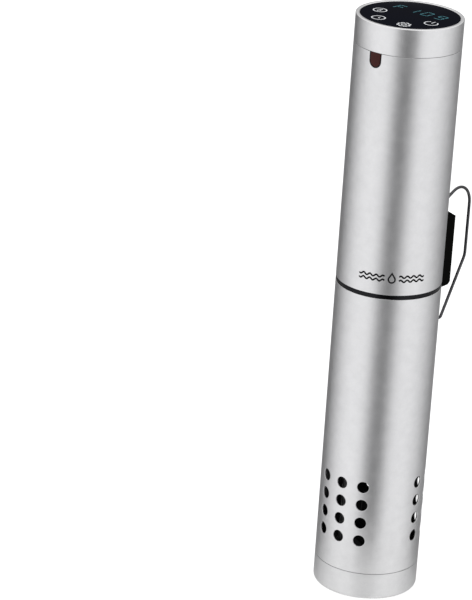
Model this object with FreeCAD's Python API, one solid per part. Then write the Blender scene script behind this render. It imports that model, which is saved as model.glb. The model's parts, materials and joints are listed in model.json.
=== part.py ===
import FreeCAD, Part
import math
import os

from FreeCAD import Vector

# Sous vide circulator: a steel stick that hangs on a pot wall, heats the water and stirs it.
# Millimetres, +Z up along the stick's axis, origin at the centre of the base. The reading side of the
# touch panel and the status window face -Y, and the pot clip is on +Y.

# Driving dimensions of the stick
STICK_R = 35.0
STICK_H = 398.0
WALL = 1.0
BASE_CAP_TOP = 18.7
BAND_LOW = 216.0
BAND_HIGH = 218.9
HEAD_SEAM = 379.5
SEAM = 0.1               # half the visible line where two covers meet
BODY_GAP = 0.3           # between curved faces that move past each other
RUN_GAP = 0.05           # radial clearance of a shaft in its bush

# Perforations of the sleeve: three groups of columns, one group facing -Y
HOLE_R = 4.0
HOLE_ROWS = (42.5, 55.5, 68.5, 81.5)
COLUMN_STEP = 25.4
GROUPS = 3
COLUMNS = (-1, 0, 1)

# Pot clip
BLOCK_HALF_W = 21.0
BLOCK_FACE = 42.3
BLOCK_LOW = 209.7
BLOCK_TOP_OUT = 257.0
BLOCK_TOP_IN = 263.2
BLOCK_BACK_Y = 20.0      # inside the stick, before the stick's curve is cut away
WIRE_R = 1.0
LEG_X = 18.4
LEG_Y = 32.7
PIVOT_Y = 37.0
PIVOT_Z = 256.0
PIVOT_END_X = 3.0
SHOULDER_Y = 59.7
SHOULDER_LOW = 271.0
SHOULDER_HIGH = 283.5
SHOULDER_BEND = 14.0
KINK_Z = 225.0
BAR_Y = 36.5
BAR_Z = 185.1
CLIP_SCREWS_X = (-8.0, 8.0)
CLIP_SCREW_Z = 239.5
CLIP_SCREW_R = 2.0

# Wet end: shaft, heater and probes
SHAFT_R = 2.0
SHAFT_LOW = 26.0
SHAFT_JOIN = 240.0
SHAFT_TUBE_R = 6.0
SHAFT_TUBE_LOW = 78.0
BUSH_R = 3.4
BUSH_H = 10.0
IMPELLER_R = 22.0
IMPELLER_LOW = 31.0
IMPELLER_HIGH = 44.0
HUB_R = 6.0
HUB_HIGH = 62.0
NUT_R = 4.6
NUT_H = 3.5
COIL_R = 17.0
COIL_TUBE_R = 3.2
COIL_PITCH = 11.0
COIL_TURNS = 6
COIL_LOW = 98.0
LEAD_Y_LOW = -19.0
LEAD_Y_HIGH = 12.0
LEAD_BEND = 7.0
LEAD_TOP = 212.0
FLANGE_LOW = 195.5
FLOOR_LOW = 198.0
FLOOR_HIGH = 206.0
SKIRT_R = 32.0
BULKHEAD_HIGH = 233.0
SEAL_GROOVE_Z = 211.5
SEAL_CORD_R = 1.4
COLLAR_LOW = 192.0
COLLAR_HIGH = 207.5
LUGS = 3
LUG_START = 60.0
PROBE_AT = (-2.8, -26.2)
PROBE_R = 2.5
PROBE_LOW = 36.0
ELECTRODES_AT = ((-24.0, -7.0), (-24.0, 7.0))
ELECTRODE_R = 1.5
ELECTRODE_LOW = 104.0

# Dry end: motor, frame and boards
MOTOR_LOW = 250.0
MOTOR_HIGH = 296.0
MOTOR_R = 21.0
MOTOR_WALL = 1.4
MOTOR_SCREWS_X = (-12.0, 12.0)
BEARING_R = 5.0
MAGNET_LOW = 257.0
MAGNET_HIGH = 287.0
MAGNET_R = 17.2
ROTOR_R = 16.6
ROTOR_LOW = 259.0
ROTOR_HIGH = 285.0
COMMUTATOR_LOW = 286.0
COMMUTATOR_HIGH = 290.5
FAN_R = 24.0
FAN_LOW = 300.0
FAN_HIGH = 307.0
MOTOR_SHAFT_HIGH = 309.0
MOUNT_LOW = 246.0
MOUNT_HIGH = 249.0
FRAME_R = 33.5
FRAME_HIGH = 370.0
RAIL_X = 28.5
SCREW_R = 1.5
BOARD_LOW = 312.0
BOARD_HIGH = 362.0
BOARD_T = 1.6
BOARD_Y = 9.0
BOARDS_Y = ((-BOARD_Y - BOARD_T, -BOARD_Y), (BOARD_Y, BOARD_Y + BOARD_T))
BOARD_HALF_W = 27.5
GROOVE_X = 25.0
HEAT_SINK_HALF_W = 18.0
HEAT_SINK_SPAN = (316.0, 350.0)
GLAND_Z = 352.0
GLAND_BORE_R = 3.5
GLAND_R = 8.0

# Head
GLASS_R = 32.2
GLASS_LOW = 396.3
GLASS_T = 1.4
RIM_R = 32.35
CARRIER_R = 31.7
PANEL_BOARD_LOW = 386.0
PANEL_KEYS = ((-20.4, -6.6), (-10.4, -21.8), (10.4, -21.8), (20.4, -6.6))
PANEL_SCREWS_AT = ((27.6, 0.0), (-27.6, 0.0), (0.0, -27.6))
DIGITS_Y = 10.5
DIGITS = 4
DIGIT_PITCH = 10.8
BEEPER_AT = (-14.0, 10.0)
WINDOW_HALF_W = 4.0
WINDOW_LOW = 370.0

Z_AXIS = Vector(0, 0, 1)


def disc(radius, low, high, at=(0.0, 0.0)):
    return Part.makeCylinder(radius, high - low, Vector(at[0], at[1], low))


def ring(outer, inner, low, high, at=(0.0, 0.0)):
    return disc(outer, low, high, at).cut(disc(inner, low - 1, high + 1, at))


def block(x_span, y_span, z_span):
    size = [span[1] - span[0] for span in (x_span, y_span, z_span)]
    return Part.makeBox(*size, Vector(x_span[0], y_span[0], z_span[0]))


def rod_y(radius, y_span, x, z):
    return Part.makeCylinder(radius, y_span[1] - y_span[0], Vector(x, y_span[0], z), Vector(0, 1, 0))


def rod_x(radius, x_span, y, z):
    return Part.makeCylinder(radius, x_span[1] - x_span[0], Vector(x_span[0], y, z), Vector(1, 0, 0))


def turned(shape, degrees):
    copy = shape.copy()
    copy.rotate(Vector(0, 0, 0), Z_AXIS, degrees)
    return copy


def around(shape, count, start=0.0):
    return [turned(shape, start + i * 360.0 / count) for i in range(count)]


def lathe(profile):
    """Solid turned about the Z axis from a closed outline of (radius, z) points."""
    points = [Vector(r, 0, z) for r, z in profile]
    face = Part.Face(Part.makePolygon(points + points[:1]))
    return face.revolve(Vector(0, 0, 0), Z_AXIS, 360)


def prism_x(outline, half_width):
    """Solid between x = -half_width and +half_width from an outline of (y, z) points."""
    points = [Vector(-half_width, y, z) for y, z in outline]
    face = Part.Face(Part.makePolygon(points + points[:1]))
    return face.extrude(Vector(2 * half_width, 0, 0))


def bent_path(points, radii):
    """Edges of straight runs joined by tangent arcs; radii holds one radius per inner point."""
    edges = []
    start = points[0]
    for i, radius in enumerate(radii, 1):
        corner = points[i]
        back = (points[i - 1] - corner).normalize()
        ahead = (points[i + 1] - corner).normalize()
        half_turn = (math.pi - back.getAngle(ahead)) / 2
        reach = radius * math.tan(half_turn)
        enter = corner + back * reach
        leave = corner + ahead * reach
        to_middle = (back + ahead).normalize()
        middle = corner + to_middle * (radius / math.cos(half_turn) - radius)
        edges.append(Part.LineSegment(start, enter).toShape())
        edges.append(Part.Arc(enter, middle, leave).toShape())
        start = leave
    edges.append(Part.LineSegment(start, points[-1]).toShape())
    return edges


def round_bar(edges, radius):
    """Round bar swept along tangent edges."""
    path = Part.Wire(edges)
    start = path.Edges[0].valueAt(path.Edges[0].FirstParameter)
    heading = path.Edges[0].tangentAt(path.Edges[0].FirstParameter)
    section = Part.Wire(Part.makeCircle(radius, start, heading))
    return path.makePipeShell([section], True, False)


def pan_screw(shank_r, head_r, head_h, length):
    """Screw along +Z with its head below z = 0 and a cross recess in the head."""
    screw = disc(shank_r, 0, length).fuse(disc(head_r, -head_h, 0))
    for angle in (0, 90):
        slot = block((-head_r * 0.6, head_r * 0.6), (-0.35, 0.35), (-head_h, -head_h * 0.5))
        screw = screw.cut(turned(slot, angle))
    return screw


def placed(shape, at, tilt_axis=None, tilt=0.0):
    copy = shape.copy()
    if tilt_axis is not None:
        copy.rotate(Vector(0, 0, 0), tilt_axis, tilt)
    copy.translate(Vector(*at))
    return copy


# Outer covers

def window_outline(margin):
    """D-shaped prism through the front wall: flat at the head seam and round below."""
    half = WINDOW_HALF_W + margin
    centre_z = WINDOW_LOW + WINDOW_HALF_W
    round_end = rod_y(half, (-40, -20), 0, centre_z)
    straight = block((-half, half), (-40, -20), (centre_z, HEAD_SEAM + margin))
    return round_end.fuse(straight).removeSplitter()


def lower_sleeve():
    sleeve = ring(STICK_R, STICK_R - WALL, BASE_CAP_TOP + SEAM, BAND_LOW - 0.1)
    group_step = 360.0 / GROUPS
    holes = []
    for group in range(GROUPS):
        for column in COLUMNS:
            angle = group * group_step + column * COLUMN_STEP
            for z in HOLE_ROWS:
                hole = rod_y(HOLE_R, (-40, -20), 0, z)
                holes.append(turned(hole, angle))
    return sleeve.cut(holes)


def sleeve_collar():
    """Ring inside the top of the sleeve with three lugs that lock in the bulkhead's slots."""
    inner = SKIRT_R + 0.4
    lug_low = COLLAR_LOW + 7.0
    collar = ring(STICK_R - WALL, inner, COLLAR_LOW, COLLAR_HIGH)
    lug = block((-3.0, 3.0), (-inner - 0.3, -30.9), (lug_low, lug_low + 4.0))
    return collar.fuse(around(lug, LUGS, LUG_START)).removeSplitter()


def base_cap():
    """Cup under the sleeve: rounded foot, water outlets round a hub, spigot that fits the sleeve."""
    top = BASE_CAP_TOP - SEAM
    foot_round = 2.4
    cup = disc(STICK_R, 0, top)
    foot_edges = [e for e in cup.Edges if abs(e.BoundBox.ZMax) < 0.01 and len(e.Vertexes) == 1]
    cup = cup.makeFillet(foot_round, foot_edges)
    spigot_r = STICK_R - WALL - BODY_GAP
    cup = cup.fuse(disc(spigot_r, top, top + 9.0))
    cup = cup.cut(disc(spigot_r - 2.0, 3.0, top + 10.0))
    outlet = ring(27.0, 9.0, -1.0, 4.0)
    spoke = block((-2.0, 2.0), (8.0, 28.0), (-2.0, 5.0))
    outlet = outlet.cut(around(spoke, 6))
    outlet = outlet.cut(ring(19.5, 17.0, -2.0, 5.0))
    return cup.cut(outlet)


def sealing_band():
    return ring(STICK_R, SKIRT_R, BAND_LOW, BAND_HIGH)


def upper_tube():
    tube = ring(STICK_R, STICK_R - WALL, BAND_HIGH, HEAD_SEAM - SEAM)
    tube = tube.cut(window_outline(0.2))
    tube = tube.cut(rod_y(GLAND_R, (20, 40), 0, GLAND_Z))
    for x in CLIP_SCREWS_X:
        tube = tube.cut(rod_y(CLIP_SCREW_R, (20, 40), x, CLIP_SCREW_Z))
    return tube


def head_bezel():
    """Cap round the touch panel: plain wall, rolled top rim with a bevelled inner edge."""
    wall_r = STICK_R - 1.2
    low = HEAD_SEAM + SEAM
    rim_low = STICK_H - 1.7
    return lathe((
        (STICK_R, low),
        (STICK_R, STICK_H - 1.2),
        (STICK_R - 0.35, STICK_H - 0.35),
        (STICK_R - 1.2, STICK_H),
        (RIM_R + 0.9, STICK_H),
        (RIM_R, STICK_H - 0.5),
        (RIM_R, rim_low),
        (wall_r, rim_low - 2.0),
        (wall_r, low),
    ))


def status_window():
    lens = ring(STICK_R - 0.1, 31.8, WINDOW_LOW, HEAD_SEAM)
    return lens.common(window_outline(0.0))


# Head internals

def touch_glass():
    glass = disc(GLASS_R, GLASS_LOW, GLASS_LOW + GLASS_T)
    rim = [e for e in glass.Edges if len(e.Vertexes) == 1 and e.BoundBox.ZMin > GLASS_LOW + 1]
    return glass.makeChamfer(0.25, rim)


def glass_carrier():
    """Black ring under the glass; it stands on the collar and holds the panel board."""
    carrier = ring(CARRIER_R, 29.5, PANEL_BOARD_LOW - 2.0, GLASS_LOW)
    ledge = ring(31.0, 25.5, PANEL_BOARD_LOW - 2.0, PANEL_BOARD_LOW)
    ledge = ledge.cut([disc(1.0, PANEL_BOARD_LOW - 3, GLASS_LOW, at) for at in PANEL_SCREWS_AT])
    return carrier.fuse(ledge).removeSplitter()


def head_collar():
    """Plastic ring that joins the bezel to the upper tube, with a gap behind the status window."""
    collar = ring(STICK_R - 1.25, CARRIER_R, FRAME_HIGH, PANEL_BOARD_LOW + 3.0)
    gap = block((-6.0, 6.0), (-36.0, -28.0), (FRAME_HIGH - 1, HEAD_SEAM + 1.0))
    return collar.cut(gap)


def panel_board():
    board = disc(29.4, PANEL_BOARD_LOW, PANEL_BOARD_LOW + BOARD_T)
    return board.cut([disc(1.0, PANEL_BOARD_LOW - 1, GLASS_LOW, at) for at in PANEL_SCREWS_AT])


def digit_module():
    low = PANEL_BOARD_LOW + BOARD_T
    module = block((-23.0, 23.0), (DIGITS_Y - 7.0, DIGITS_Y + 7.0), (low, GLASS_LOW - 0.6))
    for i in range(DIGITS):
        x = (i - (DIGITS - 1) / 2) * DIGIT_PITCH
        well = block((x - 4.4, x + 4.4), (DIGITS_Y - 6.0, DIGITS_Y + 6.0), (GLASS_LOW - 1.0, GLASS_LOW))
        module = module.cut(well)
    return module


def key_springs():
    """Sprung contact sleeves that carry a finger's touch from the glass to the board."""
    low = PANEL_BOARD_LOW + BOARD_T
    return Part.makeCompound([ring(4.0, 3.2, low, GLASS_LOW, at) for at in PANEL_KEYS])


def panel_screws():
    screw = pan_screw(1.0, 1.6, 1.2, 3.2)
    seat = PANEL_BOARD_LOW + BOARD_T
    upside_down = Vector(1, 0, 0)
    return Part.makeCompound([placed(screw, (x, y, seat), upside_down, 180) for x, y in PANEL_SCREWS_AT])


def beeper():
    body = disc(6.0, PANEL_BOARD_LOW - 8.0, PANEL_BOARD_LOW, BEEPER_AT)
    return body.cut(disc(1.2, PANEL_BOARD_LOW - 9.0, PANEL_BOARD_LOW - 6.0, BEEPER_AT))


def indicator_board():
    board = block((-5.0, 5.0), (-30.0, -28.4), (FRAME_HIGH, HEAD_SEAM + 2.0))
    lamp = rod_y(2.0, (-31.5, -30.0), 0, WINDOW_LOW + 5.0)
    return board.fuse(lamp)


# Clip

def clip_block():
    """Moulding behind the stick; its face takes the pot wall and its top holds the wire's ends."""
    body = prism_x((
        (BLOCK_BACK_Y, BLOCK_LOW),
        (BLOCK_FACE - 3.5, BLOCK_LOW),
        (BLOCK_FACE, BLOCK_LOW + 3.0),
        (BLOCK_FACE, BLOCK_TOP_OUT),
        (BLOCK_FACE - 11.0, BLOCK_TOP_IN),
        (BLOCK_BACK_Y, BLOCK_TOP_IN),
    ), BLOCK_HALF_W)
    uprights = []
    for edge in body.Edges:
        box = edge.BoundBox
        if box.ZLength > 30 and box.YMin > BLOCK_FACE - 0.1:
            uprights.append(edge)
    body = body.makeFillet(2.0, uprights)
    body = body.cut(disc(STICK_R, 200.0, 280.0))
    body = body.cut(disc(STICK_R + 0.4, 200.0, BAND_HIGH + 0.3))
    room = WIRE_R + 0.4
    elbow_x = LEG_X - 5.0
    body = body.cut(rod_x(WIRE_R + RUN_GAP, (-elbow_x, elbow_x), PIVOT_Y, PIVOT_Z))
    for side in (-1, 1):
        elbow = sorted((side * elbow_x, side * (LEG_X + room)))
        slot = sorted((side * (LEG_X - room), side * (LEG_X + room)))
        body = body.cut(block(elbow, (PIVOT_Y - 2.4, PIVOT_Y + room), (PIVOT_Z - room, PIVOT_Z + 2.4)))
        body = body.cut(block(slot, (LEG_Y - 2.0, PIVOT_Y + room), (PIVOT_Z, BLOCK_TOP_IN + 1)))
    for x in CLIP_SCREWS_X:
        body = body.cut(rod_y(CLIP_SCREW_R, (BLOCK_BACK_Y, 38.6), x, CLIP_SCREW_Z))
    return body


def clip_wire():
    """Sprung wire bail: two pivot ends, arched shoulders, straight legs and a bar against the stick."""
    half = (
        (PIVOT_END_X, PIVOT_Y, PIVOT_Z),
        (LEG_X, PIVOT_Y, PIVOT_Z),
        (LEG_X, LEG_Y, PIVOT_Z + 6.4),
        (LEG_X, LEG_Y, SHOULDER_LOW),
        (LEG_X, SHOULDER_Y, SHOULDER_HIGH),
        (LEG_X, SHOULDER_Y, KINK_Z),
        (LEG_X, BAR_Y, BAR_Z),
    )
    bends = (2.4, 4.0, 4.0, SHOULDER_BEND, 9.0, 2.2)
    points = [Vector(*p) for p in half]
    points += [Vector(-x, y, z) for x, y, z in reversed(half)]
    return round_bar(bent_path(points, bends + bends[::-1]), WIRE_R)


def clip_screws():
    screw = pan_screw(CLIP_SCREW_R, 3.4, 1.6, 6.5)
    across = Vector(1, 0, 0)
    seat = 31.9
    return Part.makeCompound([placed(screw, (x, seat, CLIP_SCREW_Z), across, -90) for x in CLIP_SCREWS_X])


# Bulkhead and wet end

def bulkhead():
    """Cup that closes the dry housing; the sleeve's lugs slide in its skirt's slots."""
    cup = lathe((
        (8.0, FLOOR_LOW),
        (SKIRT_R, FLOOR_LOW),
        (SKIRT_R, BAND_HIGH),
        (STICK_R - WALL - 0.1, BAND_HIGH),
        (STICK_R - WALL - 0.1, BULKHEAD_HIGH),
        (29.0, BULKHEAD_HIGH),
        (29.0, FLOOR_HIGH),
        (11.0, FLOOR_HIGH),
        (11.0, FLOOR_HIGH + 8.0),
        (8.0, FLOOR_HIGH + 8.0),
    ))
    slot = block((-4.0, 4.0), (-34.0, -30.4), (FLOOR_LOW - 1, 205.0))
    cup = cup.cut(around(slot, LUGS, LUG_START))
    cup = cup.cut(bulkhead_ring_seal())
    return cup.cut(feedthroughs(FLOOR_LOW - 1, FLOOR_HIGH + 1))


def feedthroughs(low, high):
    """Holes for the two heater leads, the probe and the two electrodes."""
    holes = [disc(COIL_TUBE_R, low, high, (COIL_R, y)) for y in (LEAD_Y_LOW, LEAD_Y_HIGH)]
    holes.append(disc(PROBE_R, low, high, PROBE_AT))
    holes += [disc(ELECTRODE_R, low, high, at) for at in ELECTRODES_AT]
    return holes


def bulkhead_ring_seal():
    return Part.makeTorus(SKIRT_R + 0.3, SEAL_CORD_R, Vector(0, 0, SEAL_GROOVE_Z))


def heater_flange():
    flange = ring(30.0, 6.0, FLANGE_LOW, FLOOR_LOW)
    return flange.cut(feedthroughs(FLANGE_LOW - 1, FLOOR_LOW + 1))


def heater_coil():
    """Sheathed heater: half turns that climb a pitch, with a lead up each side of the coil."""
    half_rise = COIL_PITCH / 2
    bulge = math.hypot(COIL_R, half_rise / 2)
    coil_top = COIL_LOW + COIL_TURNS * COIL_PITCH
    lead_in = [
        Vector(COIL_R, LEAD_Y_LOW, LEAD_TOP),
        Vector(COIL_R, LEAD_Y_LOW, COIL_LOW),
        Vector(COIL_R, 0, COIL_LOW),
    ]
    edges = bent_path(lead_in, (LEAD_BEND,))
    for i in range(2 * COIL_TURNS):
        side = 1 if i % 2 == 0 else -1
        z = COIL_LOW + i * half_rise
        begin = Vector(side * COIL_R, 0, z)
        middle = Vector(0, side * bulge, z + half_rise / 2)
        end = Vector(-side * COIL_R, 0, z + half_rise)
        edges.append(Part.Arc(begin, middle, end).toShape())
    lead_out = [
        Vector(COIL_R, 0, coil_top),
        Vector(COIL_R, LEAD_Y_HIGH, coil_top),
        Vector(COIL_R, LEAD_Y_HIGH, LEAD_TOP),
    ]
    return round_bar(edges + bent_path(lead_out, (LEAD_BEND,)), COIL_TUBE_R)


def heater_terminals():
    pins = []
    for y in (LEAD_Y_LOW, LEAD_Y_HIGH):
        pin = disc(1.2, LEAD_TOP, LEAD_TOP + 8.0, (COIL_R, y))
        tab = block((COIL_R - 3.0, COIL_R + 3.0), (y - 0.4, y + 0.4), (LEAD_TOP + 7.0, LEAD_TOP + 15.0))
        pins.append(pin.fuse(tab))
    return Part.makeCompound(pins)


def temperature_probe():
    x, y = PROBE_AT
    sheath = disc(PROBE_R, PROBE_LOW, LEAD_TOP, PROBE_AT)
    tip = Part.makeSphere(PROBE_R, Vector(x, y, PROBE_LOW))
    return sheath.fuse(tip).removeSplitter()


def level_electrodes():
    return Part.makeCompound([disc(ELECTRODE_R, ELECTRODE_LOW, LEAD_TOP, at) for at in ELECTRODES_AT])


def shaft_tube():
    return ring(SHAFT_TUBE_R, BUSH_R, SHAFT_TUBE_LOW, FLOOR_LOW)


def shaft_bush():
    return ring(BUSH_R, SHAFT_R + RUN_GAP, SHAFT_TUBE_LOW, SHAFT_TUBE_LOW + BUSH_H)


def shaft_seal():
    seal = ring(8.0, SHAFT_R + RUN_GAP, FLOOR_LOW, FLOOR_HIGH + 4.0)
    return seal.cut(ring(6.6, 4.2, FLOOR_HIGH, FLOOR_HIGH + 5.0))


# Drive: everything here turns with the motor

def drive_shaft():
    return disc(SHAFT_R, SHAFT_LOW, SHAFT_JOIN)


def shaft_coupling():
    coupling = ring(6.5, SHAFT_R, 232.0, 245.0)
    groove = ring(7.0, 5.4, 237.5, 239.5)
    return coupling.cut(groove)


def bladed_wheel(low, high, outer, hub_r, blades, thickness, pitch):
    """Flat blades set at a pitch angle round an axis; they start inside the hub's wall."""
    width = (high - low) * 1.35
    blade = block((hub_r - 1.0, outer), (-thickness / 2, thickness / 2), (-width / 2, width / 2))
    blade.rotate(Vector(0, 0, 0), Vector(1, 0, 0), pitch)
    blade.translate(Vector(0, 0, (low + high) / 2))
    return [b.common(disc(outer, low, high)) for b in around(blade, blades)]


def impeller():
    """Pitched blades at the foot of a long hub."""
    hub = disc(HUB_R, IMPELLER_LOW, HUB_HIGH)
    blades = bladed_wheel(IMPELLER_LOW, IMPELLER_HIGH, IMPELLER_R, HUB_R, 5, 1.6, 52.0)
    return hub.fuse(blades).cut(disc(SHAFT_R, IMPELLER_LOW - 1, HUB_HIGH + 1))


def impeller_nut():
    low = IMPELLER_LOW - NUT_H
    corners = []
    for i in range(6):
        turn = math.radians(60 * i)
        corners.append(Vector(NUT_R * math.cos(turn), NUT_R * math.sin(turn), low))
    hexagon = Part.Face(Part.makePolygon(corners + corners[:1]))
    return hexagon.extrude(Vector(0, 0, NUT_H)).cut(disc(SHAFT_R, low - 1, IMPELLER_LOW + 1))


def motor_shaft():
    return disc(SHAFT_R, SHAFT_JOIN, MOTOR_SHAFT_HIGH)


def motor_rotor():
    """Three-pole armature between the magnets."""
    rotor = ring(ROTOR_R, SHAFT_R, ROTOR_LOW, ROTOR_HIGH)
    gap = block((-2.0, 2.0), (7.0, ROTOR_R + 1), (ROTOR_LOW - 1, ROTOR_HIGH + 1))
    return rotor.cut(around(gap, 3))


def commutator():
    return ring(BEARING_R, SHAFT_R, COMMUTATOR_LOW, COMMUTATOR_HIGH)


def cooling_fan():
    hub = disc(7.0, FAN_LOW, FAN_HIGH)
    blades = bladed_wheel(FAN_LOW, FAN_HIGH, FAN_R, 7.0, 7, 1.2, 50.0)
    return hub.fuse(blades).cut(disc(SHAFT_R, FAN_LOW - 1, FAN_HIGH + 1))


# Motor housing, frame and boards

def motor_can():
    can = disc(MOTOR_R, MOTOR_LOW, MOTOR_HIGH - 4.0)
    can = can.cut(disc(MOTOR_R - MOTOR_WALL, MOTOR_LOW + 2.0, MOTOR_HIGH))
    can = can.cut(disc(BEARING_R, MOTOR_LOW - 1, MOTOR_LOW + 3))
    for x in MOTOR_SCREWS_X:
        can = can.cut(disc(SCREW_R, MOTOR_LOW - 1, MOTOR_LOW + 3, (x, 0.0)))
    return can


def motor_end_bell():
    bell = ring(MOTOR_R, BEARING_R, MOTOR_HIGH - 4.0, MOTOR_HIGH)
    vent = block((-2.5, 2.5), (9.0, 15.0), (MOTOR_HIGH - 5.0, MOTOR_HIGH + 1.0))
    return bell.cut(around(vent, 6, 30.0))


def motor_bearings():
    lower = ring(BEARING_R, SHAFT_R + RUN_GAP, MOTOR_LOW, MOTOR_LOW + 5.0)
    upper = ring(BEARING_R, SHAFT_R + RUN_GAP, MOTOR_HIGH - 5.0, MOTOR_HIGH)
    return Part.makeCompound([lower, upper])


def motor_magnets():
    shell = ring(MOTOR_R - MOTOR_WALL, MAGNET_R, MAGNET_LOW, MAGNET_HIGH)
    splits = block((-5.0, 5.0), (-MOTOR_R, MOTOR_R), (MAGNET_LOW - 1, MAGNET_HIGH + 1))
    return shell.cut(splits)


def motor_brushes():
    brush = block((BEARING_R + 0.1, 9.0), (-1.5, 1.5), (COMMUTATOR_LOW + 1.0, COMMUTATOR_HIGH - 0.5))
    return Part.makeCompound(around(brush, 2))


def motor_mount():
    plate = ring(FRAME_R, 9.0, MOUNT_LOW, MOTOR_LOW)
    seat = ring(34.0, MOTOR_R + 0.5, MOUNT_HIGH, MOTOR_LOW + 1)
    plate = plate.cut(seat)
    for x in MOTOR_SCREWS_X:
        plate = plate.cut(disc(SCREW_R, MOUNT_LOW - 1, MOTOR_LOW + 1, (x, 0.0)))
    for side in (-1, 1):
        plate = plate.cut(disc(SCREW_R, MOUNT_LOW - 1, MOTOR_LOW, (side * RAIL_X, 0.0)))
    return plate


def motor_screws():
    screw = pan_screw(SCREW_R, 2.8, 1.4, 6.0)
    return Part.makeCompound([placed(screw, (x, 0, MOUNT_LOW)) for x in MOTOR_SCREWS_X])


def frame_screws():
    screw = pan_screw(SCREW_R, 2.8, 1.4, 8.0)
    return Part.makeCompound([placed(screw, (s * RAIL_X, 0, MOUNT_LOW)) for s in (-1, 1)])


def inner_frame():
    """Two rails from the motor mount to a top ring, with grooves that hold the boards' edges."""
    top = ring(FRAME_R, 26.0, FRAME_HIGH - 3.0, FRAME_HIGH)
    rails = []
    for side in (-1, 1):
        x_span = sorted((side * (RAIL_X - 2.5), side * (RAIL_X + 2.5)))
        rail = block(x_span, (-12.0, 12.0), (MOUNT_HIGH, FRAME_HIGH - 2.0))
        rail = rail.common(disc(33.0, MOUNT_HIGH, FRAME_HIGH))
        rail = rail.cut(disc(SCREW_R, MOUNT_HIGH - 1, MOUNT_HIGH + 6.0, (side * RAIL_X, 0.0)))
        groove_x = sorted((side * GROOVE_X, side * BOARD_HALF_W))
        for y_span in BOARDS_Y:
            rail = rail.cut(block(groove_x, y_span, (BOARD_LOW, BOARD_HIGH)))
        rails.append(rail)
    frame = top.fuse(rails)
    return frame.removeSplitter()


def circuit_board(y_span):
    return block((-BOARD_HALF_W, BOARD_HALF_W), y_span, (BOARD_LOW, BOARD_HIGH))


def control_board():
    return circuit_board(BOARDS_Y[0])


def power_board():
    return circuit_board(BOARDS_Y[1])


def wifi_module():
    face = -BOARD_Y - BOARD_T
    module = block((-9.0, 9.0), (face - 1.0, face), (330.0, 356.0))
    shield = block((-7.5, 7.5), (face - 3.2, face - 1.0), (332.0, 348.0))
    return module.fuse(shield)


def control_chip():
    face = -BOARD_Y - BOARD_T
    return block((-6.0, 6.0), (face - 1.6, face), (315.0, 327.0))


def power_relay():
    face = BOARD_Y + BOARD_T
    return block((-22.0, -6.0), (face, face + 15.0), (316.0, 336.0))


def transformer():
    face = BOARD_Y + BOARD_T
    core = block((0.0, 18.0), (face, face + 16.0), (316.0, 334.0))
    return core.cut(block((6.0, 12.0), (face + 13.0, face + 17.0), (315.0, 335.0)))


def smoothing_capacitors():
    can = disc(4.5, 0.0, 12.0)
    across = Vector(1, 0, 0)
    face = BOARD_Y + BOARD_T
    return Part.makeCompound([placed(can, (x, face, 342.0), across, -90) for x in (-20.0, 19.0)])


def triac_heat_sink():
    back_y = -BOARD_Y + 7.0
    base = block((-HEAT_SINK_HALF_W, HEAT_SINK_HALF_W), (back_y, back_y + 2.0), HEAT_SINK_SPAN)
    fins = []
    for i in range(6):
        x = -HEAT_SINK_HALF_W + i * 7.0
        fins.append(block((x, x + 1.0), (back_y - 5.0, back_y), HEAT_SINK_SPAN))
    return base.fuse(fins).removeSplitter()


def cord_gland():
    """Strain-relief gland for the mains lead: collar outside, flange and nut inside."""
    gland = rod_y(GLAND_R, (29.0, 38.0), 0, GLAND_Z)
    gland = gland.fuse(rod_y(GLAND_R + 2.0, (28.0, 31.0), 0, GLAND_Z))
    gland = gland.fuse(Part.makeCone(GLAND_R - 1.0, 5.2, 4.0, Vector(0, 38.0, GLAND_Z), Vector(0, 1, 0)))
    return gland.cut(rod_y(GLAND_BORE_R, (27.0, 43.0), 0, GLAND_Z))


def terminal_block():
    body = block((-12.0, 12.0), (BOARD_Y + BOARD_T, BOARD_Y + BOARD_T + 8.0), (350.0, 360.0))
    for x in (-8.0, 0.0, 8.0):
        body = body.cut(rod_y(2.0, (BOARD_Y + BOARD_T + 2.0, 30.0), x, 355.0))
    return body


NODES = (
    head_bezel, touch_glass, glass_carrier, head_collar, panel_board, digit_module, key_springs,
    panel_screws, beeper, indicator_board, status_window, upper_tube, cord_gland, terminal_block,
    inner_frame, frame_screws, control_board, control_chip, wifi_module, power_board, power_relay,
    transformer, smoothing_capacitors, triac_heat_sink, motor_mount, motor_screws, motor_can,
    motor_end_bell, motor_bearings, motor_magnets, motor_brushes, bulkhead, bulkhead_ring_seal,
    sealing_band, shaft_seal, heater_flange, heater_coil, heater_terminals, temperature_probe,
    level_electrodes, shaft_tube, shaft_bush, clip_block, clip_screws, clip_wire, motor_shaft,
    motor_rotor, commutator, cooling_fan, shaft_coupling, drive_shaft, impeller, impeller_nut,
    lower_sleeve, sleeve_collar, base_cap,
)

os.makedirs("parts", exist_ok=True)
for make in NODES:
    shape = make()
    shape.exportStep("parts/" + make.__name__ + ".step")
    print(make.__name__, len(shape.Solids), shape.isValid(), round(shape.Volume / 1000, 2), "cm3")
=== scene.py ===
import json
import math

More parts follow.
